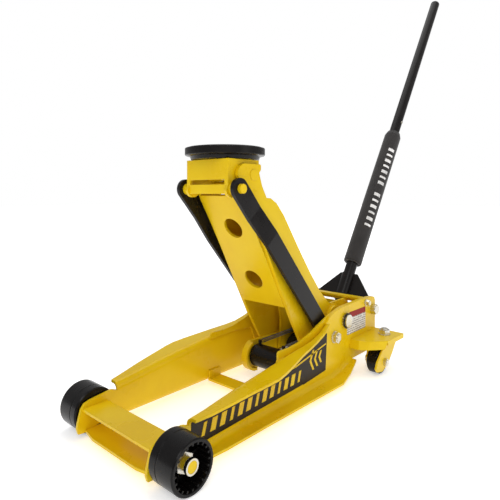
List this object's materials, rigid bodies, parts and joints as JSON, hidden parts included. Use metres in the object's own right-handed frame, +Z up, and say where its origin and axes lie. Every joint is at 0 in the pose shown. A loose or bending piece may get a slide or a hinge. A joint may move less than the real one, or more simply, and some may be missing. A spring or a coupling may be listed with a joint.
{
  "type": "trolley jack",
  "caption": "Hydraulic trolley jack with a parallel-linkage lifting arm, turning saddle, rear casters and a jointed pump handle, stored raised.",
  "frame": {"origin": "on the floor under the middle of the bounding box, in the jack's middle plane", "axes": "+X forward to the front rollers, +Y to the jack's left, +Z up"},
  "size_m": [1.4352, 0.356, 1.1702],
  "materials": {
    "yellow_paint": "gloss",
    "black_paint": "satin",
    "foam": "matt foam",
    "rubber": "matt",
    "nylon": "satin",
    "zinc_steel": "bright zinc",
    "ram_chrome": "polished",
    "black_oxide": "black oxide",
    "spring_steel": "oiled"
  },
  "bodies": {
    "chassis": {"side_channel_left": "yellow_paint", "side_channel_right": "yellow_paint", "inner_plates": "yellow_paint", "front_cross_top": "yellow_paint", "front_cross_bottom": "yellow_paint", "middle_strap": "yellow_paint", "rear_cross_plate": "yellow_paint", "front_axles": "yellow_paint", "axle_nuts": "zinc_steel", "main_shaft": "zinc_steel", "shaft_circlips": "black_oxide", "link_bolts": "zinc_steel", "side_nuts": "zinc_steel", "guard_bolts": "zinc_steel", "yoke_bolts": "zinc_steel", "unit_cheeks": "yellow_paint", "ram_cylinder": "black_paint", "oil_tank": "black_paint", "gland_nut": "black_paint", "pump_block": "black_paint", "return_spring_left": "spring_steel", "return_spring_right": "spring_steel", "caster_plate_left": "yellow_paint", "caster_plate_right": "yellow_paint", "caster_races": "zinc_steel", "caster_studs": "zinc_steel", "caster_stud_nuts": "zinc_steel"},
    "arm": {"arm_wall_left": "yellow_paint", "arm_wall_right": "yellow_paint", "arm_back_plate": "yellow_paint", "arm_front_plate": "yellow_paint", "arm_bush": "zinc_steel", "lever_pins": "zinc_steel", "tip_pin": "yellow_paint"},
    "bracket": {"saddle_bracket": "yellow_paint", "link_pin": "yellow_paint"},
    "saddle": {"saddle_cup": "black_paint", "saddle_pad": "rubber"},
    "link_left": {"link_left": "black_paint"},
    "link_right": {"link_right": "black_paint"},
    "ram": {"ram_crosshead": "black_paint", "ram_rod": "ram_chrome", "ram_plate_left": "yellow_paint", "ram_plate_right": "yellow_paint"},
    "yoke": {"yoke_frame": "black_paint", "yoke_roller": "zinc_steel"},
    "handle": {"handle_lower_tube": "black_paint", "foam_grip": "foam", "handle_upper_tube": "black_paint", "snap_button": "zinc_steel"},
    "plunger": {"pump_plunger": "ram_chrome"},
    "valve": {"release_valve": "zinc_steel"},
    "front_wheel_left": {"front_wheel_left": "nylon"},
    "front_wheel_right": {"front_wheel_right": "nylon"},
    "caster_left": {"caster_fork_left": "yellow_paint", "caster_axle_left": "zinc_steel"},
    "caster_right": {"caster_fork_right": "yellow_paint", "caster_axle_right": "zinc_steel"},
    "caster_wheel_left": {"caster_wheel_left": "nylon"},
    "caster_wheel_right": {"caster_wheel_right": "nylon"}
  },
  "joints": [
    {"name": "arm_lift", "type": "hinge", "parent": "chassis", "child": "arm", "pos_m": [0.15265, 0, 0.131], "axis": [0, 1, 0], "range_deg": [0, 52.5], "deforming": ["return_spring_left", "return_spring_right"]},
    {"name": "bracket_level", "type": "hinge", "parent": "arm", "child": "bracket", "pos_m": [0.44065, 0, 0.4655], "axis": [0, 1, 0], "range_deg": [-53, 0.5]},
    {"name": "saddle_turn", "type": "hinge", "parent": "bracket", "child": "saddle", "pos_m": [0.45265, 0, 0.5], "axis": [0, 0, 1], "continuous": true},
    {"name": "link_left_swing", "type": "hinge", "parent": "chassis", "child": "link_left", "pos_m": [0.20365, 0.082, 0.104], "axis": [0, 1, 0], "range_deg": [-0.5, 53]},
    {"name": "link_right_swing", "type": "hinge", "parent": "chassis", "child": "link_right", "pos_m": [0.20365, -0.082, 0.104], "axis": [0, 1, 0], "range_deg": [-0.5, 53]},
    {"name": "ram_carriage", "type": "hinge", "parent": "arm", "child": "ram", "pos_m": [0.18865, 0, 0.059], "axis": [0, 1, 0], "range_deg": [-53, 0.5]},
    {"name": "handle_pump", "type": "hinge", "parent": "chassis", "child": "yoke", "pos_m": [0.01765, 0, 0.133], "axis": [0, 1, 0], "range_deg": [-45, 20]},
    {"name": "handle_twist", "type": "hinge", "parent": "yoke", "child": "handle", "pos_m": [0.01025, 0, 0.12788], "axis": [-0.5693, 0, 0.8221], "range_deg": [0, 120]},
    {"name": "plunger_slide", "type": "slide", "parent": "chassis", "child": "plunger", "axis": [1, 0, 0], "range_m": [-0.0086, 0.0191]},
    {"name": "valve_turn", "type": "hinge", "parent": "chassis", "child": "valve", "pos_m": [0.05765, 0.028, 0.06], "axis": [1, 0, 0], "range_deg": [-0.5, 120.5]},
    {"name": "front_wheel_left_spin", "type": "hinge", "parent": "chassis", "child": "front_wheel_left", "pos_m": [0.67765, 0.13, 0.04], "axis": [0, 1, 0], "continuous": true},
    {"name": "front_wheel_right_spin", "type": "hinge", "parent": "chassis", "child": "front_wheel_right", "pos_m": [0.67765, -0.13, 0.04], "axis": [0, 1, 0], "continuous": true},
    {"name": "caster_swivel_left", "type": "hinge", "parent": "chassis", "child": "caster_left", "pos_m": [0.03965, 0.145, 0.07], "axis": [0, 0, 1], "range_deg": [-10, 190]},
    {"name": "caster_swivel_right", "type": "hinge", "parent": "chassis", "child": "caster_right", "pos_m": [0.03965, -0.145, 0.07], "axis": [0, 0, 1], "range_deg": [-190, 10]},
    {"name": "caster_wheel_left_spin", "type": "hinge", "parent": "caster_left", "child": "caster_wheel_left", "pos_m": [0.08065, 0.145, 0.029], "axis": [0, 1, 0], "continuous": true},
    {"name": "caster_wheel_right_spin", "type": "hinge", "parent": "caster_right", "child": "caster_wheel_right", "pos_m": [0.08065, -0.145, 0.029], "axis": [0, 1, 0], "continuous": true}
  ],
  "couplings": [
    {"joint": "bracket_level", "follows": "arm_lift", "ratio": -1},
    {"joint": "link_left_swing", "follows": "arm_lift", "ratio": 1},
    {"joint": "link_right_swing", "follows": "arm_lift", "ratio": 1},
    {"joint": "ram_carriage", "follows": "arm_lift", "ratio": -1},
    {"joint": "plunger_slide", "follows": "handle_pump", "m_per_rad": -0.02406},
    {"joint": "valve_turn", "follows": "handle_twist", "ratio": 1}
  ]
}
